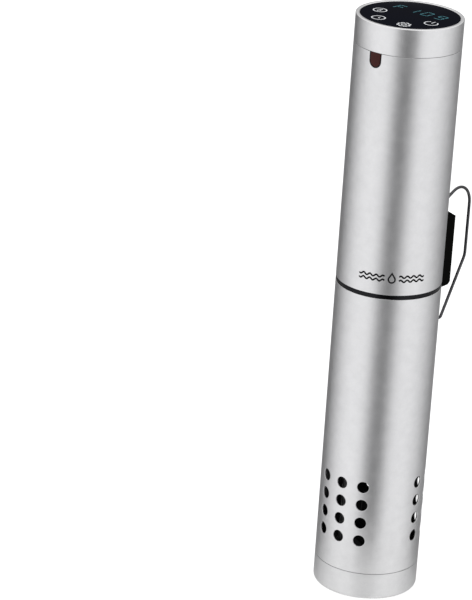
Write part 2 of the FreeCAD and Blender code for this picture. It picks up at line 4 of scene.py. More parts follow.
import bmesh
import bpy
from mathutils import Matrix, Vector


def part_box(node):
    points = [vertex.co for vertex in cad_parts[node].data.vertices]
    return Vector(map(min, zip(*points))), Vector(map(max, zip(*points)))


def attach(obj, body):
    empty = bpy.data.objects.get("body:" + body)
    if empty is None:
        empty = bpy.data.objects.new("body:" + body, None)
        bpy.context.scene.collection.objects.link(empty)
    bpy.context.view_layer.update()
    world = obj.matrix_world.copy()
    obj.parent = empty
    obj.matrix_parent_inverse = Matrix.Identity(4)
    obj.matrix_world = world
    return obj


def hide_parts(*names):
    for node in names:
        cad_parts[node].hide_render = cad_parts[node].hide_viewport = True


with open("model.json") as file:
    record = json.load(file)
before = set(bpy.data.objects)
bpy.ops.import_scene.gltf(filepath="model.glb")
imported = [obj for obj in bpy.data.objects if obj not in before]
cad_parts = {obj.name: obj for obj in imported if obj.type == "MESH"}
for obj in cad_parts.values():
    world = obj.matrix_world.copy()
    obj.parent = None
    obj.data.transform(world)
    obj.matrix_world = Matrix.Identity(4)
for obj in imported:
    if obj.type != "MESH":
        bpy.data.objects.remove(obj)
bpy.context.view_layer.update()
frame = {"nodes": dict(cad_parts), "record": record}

MM = 0.001

# Places taken from the CAD frame, in metres
STICK_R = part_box("lower_sleeve")[1].x
SLEEVE_LOW, SLEEVE_HIGH = (corner.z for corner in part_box("lower_sleeve"))
TUBE_LOW, TUBE_HIGH = (corner.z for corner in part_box("upper_tube"))
BAND_LOW, BAND_HIGH = (corner.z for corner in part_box("sealing_band"))
BEZEL_LOW, BEZEL_HIGH = (corner.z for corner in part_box("head_bezel"))
GLASS_LOW, GLASS_HIGH = (corner.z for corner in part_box("touch_glass"))
GLASS_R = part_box("touch_glass")[1].x
WINDOW_LOW, WINDOW_HIGH = (corner.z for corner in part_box("status_window"))
WINDOW_HALF_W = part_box("status_window")[1].x
DIGITS_Y = sum(corner.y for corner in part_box("digit_module")) / 2

# Sheet metal and its perforations
WALL = 1.0 * MM
EDGE = 0.22 * MM             # rounding of the sheet's cut edges
HOLE_R = 4.0 * MM
HOLE_ROW_LOW = 42.5 * MM
HOLE_PITCH = 13.0 * MM
HOLE_ROWS = 4
COLUMN_STEP = math.radians(25.4)
COLUMNS = 3
GROUPS = 3
CELL = 8                     # grid steps across the cell of one hole
GAP_STEPS = 12               # grid steps between two groups of holes

# Camera of the main view, and the azimuth at which it stands, from -Y towards +X
CAMERA_AT = (1.1467, -1.6494, 0.9581)
CAMERA_TURN = (69.157, -3.419, 38.948)
CAMERA_LENS = 194.80
VIEW_AZIMUTH = math.radians(34.81)

# Brightness of the studio round the horizon: (degrees from the main view, to the right positive, brightness)
RING_OF_LIGHT = (
    (-180, 0.30), (-160, 0.22), (-146, 0.13), (-130, 0.28), (-112, 0.55), (-90, 0.90), (-72, 1.04),
    (-31, 1.04), (-13, 0.27), (1, 0.17), (14, 0.27), (32, 1.02), (72, 1.0), (92, 0.84),
    (112, 0.60), (130, 0.38), (146, 0.24), (162, 0.26), (180, 0.30),
)


# Mesh helpers

def new_object(name, make_mesh):
    """Runs make_mesh on an empty bmesh and returns the smooth-shaded object that holds the result."""
    bm = bmesh.new()
    make_mesh(bm)
    bmesh.ops.remove_doubles(bm, verts=bm.verts, dist=1e-7)
    bmesh.ops.recalc_face_normals(bm, faces=bm.faces)
    mesh = bpy.data.meshes.new(name)
    bm.to_mesh(mesh)
    bm.free()
    for polygon in mesh.polygons:
        polygon.use_smooth = True
    obj = bpy.data.objects.new(name, mesh)
    bpy.context.scene.collection.objects.link(obj)
    return obj


def fitted(obj, body, slot, nodes=()):
    """Gives a piece its body, its finish and the CAD nodes that it stands for. Prints have no slot."""
    obj.data.materials.clear()
    obj.data.materials.append(MATERIALS[slot])
    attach(obj, body)
    if nodes:
        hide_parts(*nodes)
    return obj


def thicken(obj, thickness):
    solid = obj.modifiers.new("wall", "SOLIDIFY")
    solid.thickness = thickness
    solid.offset = -1.0


def soften(obj, width, segments=2, angle=35.0):
    bevel = obj.modifiers.new("edges", "BEVEL")
    bevel.width = width
    bevel.segments = segments
    bevel.limit_method = "ANGLE"
    bevel.angle_limit = math.radians(angle)
    bevel.harden_normals = True


def rounded(corners, steps=5):
    """Closed outline from (x, y, radius) corners, with an arc at each corner that has a radius."""
    points = [Vector(c[:2]) for c in corners]
    outline = []
    for i, corner in enumerate(points):
        radius = corners[i][2]
        if radius == 0:
            outline.append(corner)
            continue
        back = (points[i - 1] - corner).normalized()
        ahead = (points[(i + 1) % len(points)] - corner).normalized()
        half_turn = (math.pi - back.angle(ahead)) / 2
        reach = radius * math.tan(half_turn)
        centre = corner + (back + ahead).normalized() * (radius / math.cos(half_turn))
        enter = corner + back * reach - centre
        leave = corner + ahead * reach - centre
        for k in range(steps + 1):
            share = k / steps
            spoke = enter * math.sin((1 - share) * 2 * half_turn) + leave * math.sin(share * 2 * half_turn)
            outline.append(centre + spoke / math.sin(2 * half_turn))
    return outline


def lathe(name, outline, segments=144):
    """Ring or disc turned about the stick's axis from a closed outline of (radius, z) points."""
    def make_mesh(bm):
        loops = []
        for i in range(segments):
            turn = 2 * math.pi * i / segments
            x, y = math.sin(turn), -math.cos(turn)
            loops.append([bm.verts.new((r * x, r * y, z)) for r, z in outline])
        for i in range(segments):
            here, there = loops[i], loops[(i + 1) % segments]
            for k in range(len(outline)):
                n = (k + 1) % len(outline)
                corners = [here[k], here[n], there[n], there[k]]
                if outline[k][0] < 1e-9 and outline[n][0] < 1e-9:
                    continue
                bm.faces.new(corners)
        bmesh.ops.remove_doubles(bm, verts=bm.verts, dist=1e-8)
        bmesh.ops.dissolve_degenerate(bm, dist=1e-8, edges=bm.edges)
    return new_object(name, make_mesh)


def on_stick(s, z, radius):
    """Point on the stick at arc angle s from -Y towards +X."""
    return (radius * math.sin(s), -radius * math.cos(s), z)


def stick_sheet(name, columns, rows, cutouts, radius=STICK_R):
    """Closed cylinder wall on a grid of arc angles and heights. A cutout is (first column, last column,
    first row, last row, edge point), where edge point maps a grid point of its frame to the cut's edge;
    a cutout whose last row is the top row is open at the top."""
    def make_mesh(bm):
        count = len(columns)
        grid = [[bm.verts.new(on_stick(s, z, radius)) for z in rows] for s in columns]
        holes = set()
        for first, last, low, high, edge_point in cutouts:
            holes.update(((i % count, j) for i in range(first, last) for j in range(low, high)))
        for i in range(count):
            after = grid[(i + 1) % count]
            for j in range(len(rows) - 1):
                if (i, j) not in holes:
                    bm.faces.new((grid[i][j], after[j], after[j + 1], grid[i][j + 1]))
        for first, last, low, high, edge_point in cutouts:
            open_top = high == len(rows) - 1
            border = [(first, j) for j in range(high, low, -1)]
            border += [(i, low) for i in range(first, last)]
            border += [(last, j) for j in range(low, high)]
            if open_top:
                border.append((last, high))
            else:
                border += [(i, high) for i in range(last, first, -1)]
            loops = []
            for share in (0.0, 0.1, 0.35, 1.0):
                loop = []
                for i, j in border:
                    vertex = grid[i % count][j]
                    if share < 1.0:
                        s = columns[i % count]
                        edge_s, edge_z = edge_point(s, rows[j])
                        at_s = edge_s + (s - edge_s) * share
                        at_z = edge_z + (rows[j] - edge_z) * share
                        vertex = bm.verts.new(on_stick(at_s, at_z, radius))
                    loop.append(vertex)
                loops.append(loop)
            spans = len(border) - 1 if open_top else len(border)
            for inner, outer in zip(loops, loops[1:]):
                for k in range(spans):
                    n = (k + 1) % len(border)
                    bm.faces.new((inner[k], inner[n], outer[n], outer[k]))
        loose = [v for v in bm.verts if not v.link_faces]
        bmesh.ops.delete(bm, geom=loose, context="VERTS")
    return new_object(name, make_mesh)


def ribbon(bm, line, width, closed, place, depth):
    """Adds a flat strip of constant width along a line of (x, y) points; place maps (x, y, lift) to space."""
    count = len(line)
    sides = []
    for k, (x, y) in enumerate(line):
        before = line[k - 1] if closed or k > 0 else line[k]
        after = line[(k + 1) % count] if closed or k < count - 1 else line[k]
        along_in = Vector((x - before[0], y - before[1]))
        along_out = Vector((after[0] - x, after[1] - y))
        along_in = along_in.normalized() if along_in.length > 0 else along_out.normalized()
        along_out = along_out.normalized() if along_out.length > 0 else along_in
        mitre = (along_in + along_out).normalized()
        reach = width / 2 / max(0.5, mitre.dot(along_in))
        across = Vector((-mitre.y, mitre.x)) * reach
        left, right = Vector((x, y)) + across, Vector((x, y)) - across
        sides.append([bm.verts.new(place(p.x, p.y, lift)) for p, lift in (
            (left, 0), (right, 0), (right, depth), (left, depth))])
    spans = count if closed else count - 1
    for k in range(spans):
        here, there = sides[k], sides[(k + 1) % count]
        for a in range(4):
            b = (a + 1) % 4
            bm.faces.new((here[a], here[b], there[b], there[a]))
    if not closed:
        bm.faces.new(sides[0][::-1])
        bm.faces.new(sides[-1])


def circle_points(x, y, radius, count=40, first=0.0, sweep=2 * math.pi):
    whole = sweep > 6.28
    steps = count if whole else count - 1
    turns = [first + sweep * k / steps for k in range(count)]
    return [(x + radius * math.cos(t), y + radius * math.sin(t)) for t in turns]


# Materials

def node(tree, kind, **settings):
    made = tree.nodes.new(kind)
    for key, value in settings.items():
        setattr(made, key, value)
    return made


def noise(tree, vector, scale, detail=3.0, roughness=0.6):
    made = node(tree, "ShaderNodeTexNoise")
    made.inputs["Scale"].default_value = scale
    made.inputs["Detail"].default_value = detail
    made.inputs["Roughness"].default_value = roughness
    tree.links.new(vector, made.inputs["Vector"])
    return made.outputs["Fac"]


def spread(tree, value, low, high):
    """Maps the middle of a 0 to 1 value onto low to high."""
    made = node(tree, "ShaderNodeMapRange")
    made.inputs["From Min"].default_value = 0.3
    made.inputs["From Max"].default_value = 0.7
    made.inputs["To Min"].default_value = low
    made.inputs["To Max"].default_value = high
    tree.links.new(value, made.inputs["Value"])
    return made.outputs["Result"]


def around_axis(tree, position, turn_scale, rise_scale):
    """Coordinates that run round the stick and up it, for brushing and bands."""
    parts = node(tree, "ShaderNodeSeparateXYZ")
    tree.links.new(position, parts.inputs["Vector"])
    turn = node(tree, "ShaderNodeMath", operation="ARCTAN2")
    tree.links.new(parts.outputs["X"], turn.inputs[0])
    tree.links.new(parts.outputs["Y"], turn.inputs[1])
    joined = node(tree, "ShaderNodeCombineXYZ")
    for source, scale, target in ((turn.outputs[0], turn_scale, "X"), (parts.outputs["Z"], rise_scale, "Y")):
        scaled = node(tree, "ShaderNodeMath", operation="MULTIPLY")
        scaled.inputs[1].default_value = scale
        tree.links.new(source, scaled.inputs[0])
        tree.links.new(scaled.outputs[0], joined.inputs[target])
    return joined.outputs["Vector"]


def painted_inner_shade(tree, position, color, radius):
    """Painted shade: fades a colour to near black on inner faces, where the inside of the stick lies in
    shade: nearer to the stick's axis than radius, above the foot.
    """
    level = node(tree, "ShaderNodeVectorMath", operation="MULTIPLY")
    level.inputs[1].default_value = (1.0, 1.0, 0.0)
    tree.links.new(position, level.inputs[0])
    reach = node(tree, "ShaderNodeVectorMath", operation="LENGTH")
    tree.links.new(level.outputs["Vector"], reach.inputs[0])
    outside = node(tree, "ShaderNodeMapRange")
    outside.inputs["From Min"].default_value = radius
    outside.inputs["From Max"].default_value = radius + 0.3 * MM
    tree.links.new(reach.outputs["Value"], outside.inputs["Value"])
    parts = node(tree, "ShaderNodeSeparateXYZ")
    tree.links.new(position, parts.inputs["Vector"])
    foot = node(tree, "ShaderNodeMapRange")
    foot.inputs["From Min"].default_value = 2.8 * MM
    foot.inputs["From Max"].default_value = 2.2 * MM
    tree.links.new(parts.outputs["Z"], foot.inputs["Value"])
    plain = node(tree, "ShaderNodeMath", operation="MAXIMUM")
    tree.links.new(outside.outputs["Result"], plain.inputs[0])
    tree.links.new(foot.outputs["Result"], plain.inputs[1])
    shaded = node(tree, "ShaderNodeMix", data_type="RGBA")
    # near-black colour of the painted shade inside the stick
    shaded.inputs["A"].default_value = (0.03, 0.03, 0.032, 1.0)
    tree.links.new(color, shaded.inputs["B"])
    tree.links.new(plain.outputs[0], shaded.inputs["Factor"])
    return shaded.outputs["Result"]


def surface(name, color, metallic=0.0, roughness=0.5, shades=0.08, grain=900.0, bump=0.05,
            uneven=0.05, brushed=None, coat=0.0, specular=0.5, shade_within=None):
    """Principled material with mottled colour, uneven roughness and a fine grain. brushed is None or
    (turn scale, rise scale, strength) of lines that run round the stick. Nearer to the stick's axis than
    shade_within, the surface gets painted shade: a near-black inner face, where the inside of the stick lies
    in shade."""
    material = bpy.data.materials.new(name)
    material.use_nodes = True
    tree = material.node_tree
    shader = tree.nodes["Principled BSDF"]
    shader.inputs["Metallic"].default_value = metallic
    shader.inputs["Specular IOR Level"].default_value = specular
    shader.inputs["Coat Weight"].default_value = coat
    shader.inputs["Coat Roughness"].default_value = 0.08
    position = node(tree, "ShaderNodeTexCoord").outputs["Object"]

    mottle = noise(tree, position, grain * 0.06, detail=4.0)
    fine = noise(tree, position, grain, detail=2.0)
    both = node(tree, "ShaderNodeMath", operation="ADD")
    tree.links.new(spread(tree, mottle, 0.5 - shades * 2, 0.5 + shades * 2), both.inputs[0])
    tree.links.new(spread(tree, fine, -shades, shades), both.inputs[1])
    tint = node(tree, "ShaderNodeMix", data_type="RGBA")
    tint.inputs["A"].default_value = [c * 0.75 for c in color] + [1.0]
    tint.inputs["B"].default_value = [min(1.0, c * 1.25) for c in color] + [1.0]
    tree.links.new(both.outputs[0], tint.inputs["Factor"])
    painted = tint.outputs["Result"]
    # painted shade on the inner faces, nearer to the stick's axis than the given radius
    if shade_within:
        painted = painted_inner_shade(tree, position, painted, shade_within)
    tree.links.new(painted, shader.inputs["Base Color"])

    tree.links.new(spread(tree, mottle, roughness - uneven, roughness + uneven), shader.inputs["Roughness"])

    relief = fine
    if brushed:
        turn_scale, rise_scale, strength = brushed
        unrolled = around_axis(tree, position, turn_scale, rise_scale)
        lines = noise(tree, unrolled, 1.0, detail=5.0, roughness=0.75)
        mixed = node(tree, "ShaderNodeMix", data_type="FLOAT")
        mixed.inputs["Factor"].default_value = strength
        tree.links.new(fine, mixed.inputs["A"])
        tree.links.new(lines, mixed.inputs["B"])
        relief = mixed.outputs["Result"]
    raised = node(tree, "ShaderNodeBump")
    raised.inputs["Strength"].default_value = bump
    raised.inputs["Distance"].default_value = 0.0004
    tree.links.new(relief, raised.inputs["Height"])
    tree.links.new(raised.outputs["Normal"], shader.inputs["Normal"])
    return material


def glowing(name, color, strength):
    """Lit display segment with a slightly uneven glow."""
    material = surface(name, [c * 0.3 for c in color], roughness=0.3, grain=2500.0)
    tree = material.node_tree
    shader = tree.nodes["Principled BSDF"]
    shader.inputs["Emission Strength"].default_value = strength
    position = node(tree, "ShaderNodeTexCoord").outputs["Object"]
    flicker = node(tree, "ShaderNodeMix", data_type="RGBA")
    flicker.inputs["A"].default_value = [c * 0.7 for c in color] + [1.0]
    flicker.inputs["B"].default_value = list(color) + [1.0]
    tree.links.new(noise(tree, position, 900.0), flicker.inputs["Factor"])
    tree.links.new(flicker.outputs["Result"], shader.inputs["Emission Color"])
    return material


def circuit_green(name):
    """Solder mask with lighter tracks in an angular maze."""
    material = surface(name, (0.02, 0.13, 0.06), roughness=0.35, grain=1500.0, coat=0.3)
    tree = material.node_tree
    shader = tree.nodes["Principled BSDF"]
    position = node(tree, "ShaderNodeTexCoord").outputs["Object"]
    tracks = node(tree, "ShaderNodeTexVoronoi", feature="DISTANCE_TO_EDGE", distance="MANHATTAN")
    tracks.inputs["Scale"].default_value = 260.0
    tree.links.new(position, tracks.inputs["Vector"])
    line = node(tree, "ShaderNodeMapRange")
    line.inputs["From Min"].default_value = 0.04
    line.inputs["From Max"].default_value = 0.07
    tree.links.new(tracks.outputs["Distance"], line.inputs["Value"])
    paint = node(tree, "ShaderNodeMix", data_type="RGBA")
    paint.inputs["A"].default_value = (0.05, 0.26, 0.11, 1.0)
    tree.links.new(line.outputs["Result"], paint.inputs["Factor"])
    tree.links.new(shader.inputs["Base Color"].links[0].from_socket, paint.inputs["B"])
    tree.links.new(paint.outputs["Result"], shader.inputs["Base Color"])
    return material


def make_materials():
    return {
        "satin_steel": surface("satin_steel", (0.755, 0.755, 0.76), metallic=1.0, roughness=0.33, shades=0.04,
                               grain=2600.0, bump=0.16, uneven=0.02, brushed=(60.0, 2500.0, 0.25),
                               # painted shade on the inner faces of the steel covers
                               shade_within=STICK_R - 0.9 * MM),
        "rim_steel": surface("rim_steel", (0.77, 0.77, 0.775), metallic=1.0, roughness=0.3, shades=0.03,
                             grain=4200.0, bump=0.06, uneven=0.02, brushed=(5.0, 4200.0, 0.97)),
        # painted shade: the polished steel wire gets a near-black base colour that stands in for its dark
        # reflections
        "wire_steel": surface("wire_steel", (0.075, 0.075, 0.08), metallic=1.0, roughness=0.16, shades=0.06,
                              grain=1800.0, bump=0.02, uneven=0.03),
        "inner_steel": surface("inner_steel", (0.2, 0.2, 0.205), metallic=1.0, roughness=0.42, shades=0.12,
                               grain=900.0, bump=0.05, uneven=0.06),
        "panel_glass": surface("panel_glass", (0.0022, 0.0028, 0.0065), roughness=0.08, shades=0.1,
                               grain=500.0, bump=0.0, uneven=0.02, specular=0.002),
        "window_red": surface("window_red", (0.042, 0.007, 0.005), roughness=0.2, shades=0.2,
                              grain=600.0, bump=0.02, uneven=0.03, specular=0.15),
        "band_black": surface("band_black", (0.018, 0.018, 0.02), metallic=1.0, roughness=0.14, shades=0.1,
                              grain=1600.0, bump=0.03, uneven=0.04),
        "clip_black": surface("clip_black", (0.0016, 0.0016, 0.0014), roughness=0.6, shades=0.2,
                              grain=2200.0, bump=0.08, uneven=0.05, specular=0.012),
        "inner_black": surface("inner_black", (0.009, 0.009, 0.0095), roughness=0.5, shades=0.2,
                               grain=1800.0, bump=0.08, uneven=0.06, specular=0.15),
        "frame_white": surface("frame_white", (0.6, 0.59, 0.56), roughness=0.5, shades=0.06,
                               grain=1500.0, bump=0.06),
        "chip_black": surface("chip_black", (0.02, 0.02, 0.021), roughness=0.55, shades=0.15,
                              grain=3000.0, bump=0.12),
        "zinc": surface("zinc", (0.62, 0.62, 0.63), metallic=1.0, roughness=0.32, shades=0.12,
                        grain=1400.0, bump=0.05, uneven=0.08),
        "heatsink": surface("heatsink", (0.68, 0.68, 0.69), metallic=1.0, roughness=0.4, shades=0.08,
                            grain=1000.0, bump=0.08, uneven=0.06),
        "brass": surface("brass", (0.66, 0.46, 0.2), metallic=1.0, roughness=0.3, shades=0.1,
                         grain=1200.0, bump=0.04, uneven=0.06, brushed=(6.0, 3000.0, 0.6)),
        "motor_zinc": surface("motor_zinc", (0.55, 0.55, 0.56), metallic=1.0, roughness=0.34, shades=0.12,
                              grain=900.0, bump=0.06, uneven=0.08),
        "magnet": surface("magnet", (0.05, 0.05, 0.055), roughness=0.6, shades=0.2, grain=1500.0, bump=0.12),
        "copper": surface("copper", (0.62, 0.27, 0.12), metallic=1.0, roughness=0.35, shades=0.12,
                          grain=900.0, bump=0.3, uneven=0.06, brushed=(3.0, 4000.0, 0.8)),
        "carbon": surface("carbon", (0.02, 0.02, 0.02), roughness=0.7, shades=0.2, grain=2500.0, bump=0.15),
        "seal_rubber": surface("seal_rubber", (0.015, 0.015, 0.016), roughness=0.6, shades=0.2,
                               grain=2000.0, bump=0.1),
        "component": surface("component", (0.03, 0.07, 0.25), roughness=0.35, shades=0.1,
                             grain=1200.0, bump=0.04),
        "board_green": circuit_green("board_green"),
        "key_print": surface("key_print", (0.72, 0.74, 0.76), roughness=0.5, shades=0.05, grain=3000.0),
        "digit_lit": glowing("digit_lit", (0.035, 0.24, 0.29), 0.62),
        "tube_print": surface("tube_print", (0.006, 0.006, 0.007), roughness=0.6, shades=0.15,
                              grain=4000.0, specular=0.1),
    }


# Stage: camera, light and floor

def make_camera():
    data = bpy.data.cameras.new("main_view")
    data.lens = CAMERA_LENS
    data.clip_end = 50.0
    camera = bpy.data.objects.new("main_view", data)
    camera.location = CAMERA_AT
    camera.rotation_euler = [math.radians(a) for a in CAMERA_TURN]
    bpy.context.scene.collection.objects.link(camera)
    bpy.context.scene.camera = camera


def make_studio_light():
    """World of two broad soft boxes beside the main view, an overhead one, and darker gaps between them."""
    world = bpy.data.worlds.new("studio")
    bpy.context.scene.world = world
    world.use_nodes = True
    tree = world.node_tree
    background = tree.nodes["Background"]
    direction = node(tree, "ShaderNodeTexCoord").outputs["Generated"]
    turned = node(tree, "ShaderNodeVectorRotate", rotation_type="Z_AXIS")
    turned.inputs["Angle"].default_value = -VIEW_AZIMUTH
    tree.links.new(direction, turned.inputs["Vector"])
    parts = node(tree, "ShaderNodeSeparateXYZ")
    tree.links.new(turned.outputs["Vector"], parts.inputs["Vector"])
    towards = node(tree, "ShaderNodeMath", operation="MULTIPLY")
    towards.inputs[1].default_value = -1.0
    tree.links.new(parts.outputs["Y"], towards.inputs[0])
    turn = node(tree, "ShaderNodeMath", operation="ARCTAN2")
    tree.links.new(parts.outputs["X"], turn.inputs[0])
    tree.links.new(towards.outputs[0], turn.inputs[1])
    share = node(tree, "ShaderNodeMapRange")
    share.inputs["From Min"].default_value = -math.pi
    share.inputs["From Max"].default_value = math.pi
    tree.links.new(turn.outputs[0], share.inputs["Value"])
    ring = node(tree, "ShaderNodeValToRGB")
    ring.color_ramp.interpolation = "LINEAR"
    stops = ring.color_ramp.elements
    while len(stops) < len(RING_OF_LIGHT):
        stops.new(0.5)
    for stop, (angle, brightness) in zip(stops, RING_OF_LIGHT):
        stop.position = (angle + 180) / 360
        stop.color = (brightness, brightness, brightness * 1.01, 1.0)
    tree.links.new(share.outputs["Result"], ring.inputs["Fac"])

    overhead = node(tree, "ShaderNodeMapRange", interpolation_type="SMOOTHSTEP")
    overhead.inputs["From Min"].default_value = 0.15
    overhead.inputs["From Max"].default_value = 0.6
    tree.links.new(parts.outputs["Z"], overhead.inputs["Value"])
    sky = node(tree, "ShaderNodeMix", data_type="RGBA")
    sky.inputs["B"].default_value = (1.15, 1.15, 1.15, 1.0)
    tree.links.new(overhead.outputs["Result"], sky.inputs["Factor"])
    tree.links.new(ring.outputs["Color"], sky.inputs["A"])
    tree.links.new(sky.outputs["Result"], background.inputs["Color"])
    background.inputs["Strength"].default_value = 1.0


def pale(name, lift, tone_low, tone_high):
    """Pale matt surface, lifted by some glow of its own so that shadows on it stay faint."""
    material = bpy.data.materials.new(name)
    material.use_nodes = True
    tree = material.node_tree
    shader = tree.nodes["Principled BSDF"]
    shader.inputs["Roughness"].default_value = 0.9
    shader.inputs["Emission Color"].default_value = (1.0, 1.0, 1.0, 1.0)
    shader.inputs["Emission Strength"].default_value = lift
    position = node(tree, "ShaderNodeTexCoord").outputs["Object"]
    tone = node(tree, "ShaderNodeMix", data_type="RGBA")
    tone.inputs["A"].default_value = (tone_low, tone_low, tone_low, 1.0)
    tone.inputs["B"].default_value = (tone_high, tone_high, tone_high, 1.0)
    tree.links.new(noise(tree, position, 6.0), tone.inputs["Factor"])
    tree.links.new(tone.outputs["Result"], shader.inputs["Base Color"])
    return material


def near_floor_material():
    """Half-clear glow that the foot of the stick reflects, stronger on the main view's side."""
    material = pale("pale_reflection", 0.0, 0.1, 0.12)
    tree = material.node_tree
    shader = tree.nodes["Principled BSDF"]
    shader.inputs["Alpha"].default_value = 0.5
    position = node(tree, "ShaderNodeTexCoord").outputs["Object"]
    towards = node(tree, "ShaderNodeVectorMath", operation="DOT_PRODUCT")
    towards.inputs[1].default_value = (math.sin(VIEW_AZIMUTH), -math.cos(VIEW_AZIMUTH), 0.0)
    tree.links.new(position, towards.inputs[0])
    glow = node(tree, "ShaderNodeMapRange", interpolation_type="SMOOTHSTEP")
    glow.inputs["From Min"].default_value = -0.06
    glow.inputs["From Max"].default_value = 0.055
    glow.inputs["To Min"].default_value = 0.1
    glow.inputs["To Max"].default_value = 0.78
    tree.links.new(towards.outputs["Value"], glow.inputs["Value"])
    tree.links.new(glow.outputs["Result"], shader.inputs["Emission Strength"])
    return material


def make_floor():
    """Wide floor, and a small dimmer disc round the foot that only the steel reflects."""
    wide = lathe("floor", ((0.0, 0.0), (14.0, 0.0), (14.0, -0.01), (0.0, -0.01)), segments=64)
    wide.data.materials.append(pale("pale_floor", 0.75, 0.42, 0.46))
    wide.visible_glossy = False
    near = lathe("floor_near", ((0.0, -0.0004), (0.13, -0.0004), (0.13, -0.008), (0.0, -0.008)), segments=64)
    near.data.materials.append(near_floor_material())
    near.visible_camera = False
    near.visible_diffuse = False
    near.visible_shadow = False


# Steel covers

def hole_columns():
    """Arc angles of the sleeve's grid, and the grid column at which each hole's cell starts."""
    angles, cells = [], []
    cell_step = COLUMN_STEP / CELL
    gap = 2 * math.pi / GROUPS - COLUMNS * COLUMN_STEP
    for group in range(GROUPS):
        start = group * 2 * math.pi / GROUPS - COLUMN_STEP * COLUMNS / 2
        for column in range(COLUMNS):
            cells.append((len(angles), start + COLUMN_STEP * (column + 0.5)))
            angles += [start + COLUMN_STEP * column + cell_step * k for k in range(CELL)]
        end = start + COLUMNS * COLUMN_STEP
        angles += [end + gap * k / GAP_STEPS for k in range(GAP_STEPS)]
    return angles, cells


def round_edge(centre_s, centre_z):
    """Edge point of a round hole for each point of the frame round it."""
    def edge_point(s, z):
        along, up = (s - centre_s) * STICK_R, z - centre_z
        reach = HOLE_R / math.hypot(along, up)
        return centre_s + along * reach / STICK_R, centre_z + up * reach
    return edge_point


def make_sleeve():
    angles, cells = hole_columns()
    step = HOLE_PITCH / CELL
    cells_low = HOLE_ROW_LOW - HOLE_PITCH / 2
    below = [SLEEVE_LOW + (cells_low - SLEEVE_LOW) * k / 8 for k in range(8)]
    beside = [cells_low + step * k for k in range(HOLE_ROWS * CELL)]
    above_low = cells_low + HOLE_ROWS * HOLE_PITCH
    above = [above_low + (SLEEVE_HIGH - above_low) * k / 24 for k in range(25)]
    cutouts = []
    for column, centre_s in cells:
        for row in range(HOLE_ROWS):
            low = len(below) + row * CELL
            edge = round_edge(centre_s, HOLE_ROW_LOW + row * HOLE_PITCH)
            cutouts.append((column, column + CELL, low, low + CELL, edge))
    sleeve = stick_sheet("sleeve_shell", angles, below + beside + above, cutouts)
    thicken(sleeve, WALL)
    soften(sleeve, EDGE)
    fitted(sleeve, "sleeve", "satin_steel", ["lower_sleeve"])


def make_upper_tube():
    """Steel tube whose top edge has a D-shaped notch for the status window."""
    notch_steps = 16
    frame_half = 7.0 * MM / STICK_R
    rest_steps = 116
    rest = 2 * math.pi - 2 * frame_half
    angles = [-frame_half + 2 * frame_half * k / notch_steps for k in range(notch_steps)]
    angles += [frame_half + rest * k / rest_steps for k in range(rest_steps)]
    notch_low = WINDOW_LOW - 4.0 * MM
    below = [TUBE_LOW + (notch_low - TUBE_LOW) * k / 30 for k in range(30)]
    beside = [notch_low + (TUBE_HIGH - notch_low) * k / 14 for k in range(15)]
    half_width = WINDOW_HALF_W + 0.6 * MM
    centre_z = WINDOW_LOW + WINDOW_HALF_W

    def window_edge(s, z):
        along, up = s * STICK_R, z - centre_z
        if up >= 0:
            return math.copysign(half_width, along) / STICK_R, z
        reach = half_width / math.hypot(along, up)
        return along * reach / STICK_R, centre_z + up * reach

    rows = below + beside
    cutouts = [(0, notch_steps, len(below), len(rows) - 1, window_edge)]
    tube = stick_sheet("tube_shell", angles, rows, cutouts)
    thicken(tube, WALL)
    soften(tube, EDGE)
    fitted(tube, "housing", "satin_steel", ["upper_tube"])


def make_bezel():
    rim_r = GLASS_R + 0.15 * MM
    rim_low = BEZEL_HIGH - 1.7 * MM
    slope_low = BEZEL_HIGH - 3.7 * MM
    inner_r = STICK_R - 1.2 * MM
    outline = rounded((
        (STICK_R, BEZEL_LOW, EDGE),
        (STICK_R, BEZEL_HIGH, 0.55 * MM),
        (rim_r, BEZEL_HIGH, 0.4 * MM),
        (rim_r, rim_low, 0),
        (inner_r, slope_low, 0),
        (inner_r, BEZEL_LOW, EDGE),
    ))
    fitted(lathe("bezel_shell", outline, segments=180), "housing", "rim_steel", ["head_bezel"])


def make_band():
    inner_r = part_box("bulkhead_ring_seal")[1].x - 1.5 * MM
    outer_r = STICK_R - 0.05 * MM
    outline = rounded((
        (outer_r, BAND_LOW, 0.2 * MM),
        (outer_r, BAND_HIGH, 0.2 * MM),
        (inner_r, BAND_HIGH, 0),
        (inner_r, BAND_LOW, 0),
    ))
    fitted(lathe("band_ring", outline), "housing", "band_black", ["sealing_band"])


# Status window

def window_plate(name, half_width, radius, thickness, slot, nodes=()):
    """D-shaped plate that follows the stick's curve: flat at the head seam and round below."""
    centre_z = WINDOW_LOW + WINDOW_HALF_W
    columns, rows = 20, 10

    def make_mesh(bm):
        grid = []
        for i in range(columns + 1):
            turn = math.pi * i / columns
            x = -half_width * math.cos(turn)
            low = centre_z - half_width * math.sin(turn)
            line = [low + (WINDOW_HIGH - low) * j / rows for j in range(rows + 1)]
            grid.append([bm.verts.new(on_stick(x / STICK_R, z, radius)) for z in line])
        for here, there in zip(grid, grid[1:]):
            for j in range(rows):
                bm.faces.new((here[j], there[j], there[j + 1], here[j + 1]))
    plate = new_object(name, make_mesh)
    thicken(plate, thickness)
    soften(plate, 0.2 * MM)
    fitted(plate, "housing", slot, nodes)


def make_window():
    window_plate("window_lens", WINDOW_HALF_W - 0.25 * MM, STICK_R - 0.1 * MM, 1.4 * MM, "window_red",
                 ["status_window"])
    window_plate("window_surround", WINDOW_HALF_W + 0.5 * MM, STICK_R - 0.45 * MM, 1.6 * MM, "inner_black")


# Touch panel

PRINT_LIFT = 0.02 * MM
PRINT_DEPTH = 0.04 * MM


def on_glass(x, y, lift):
    return (x, y, GLASS_HIGH + PRINT_LIFT + lift)


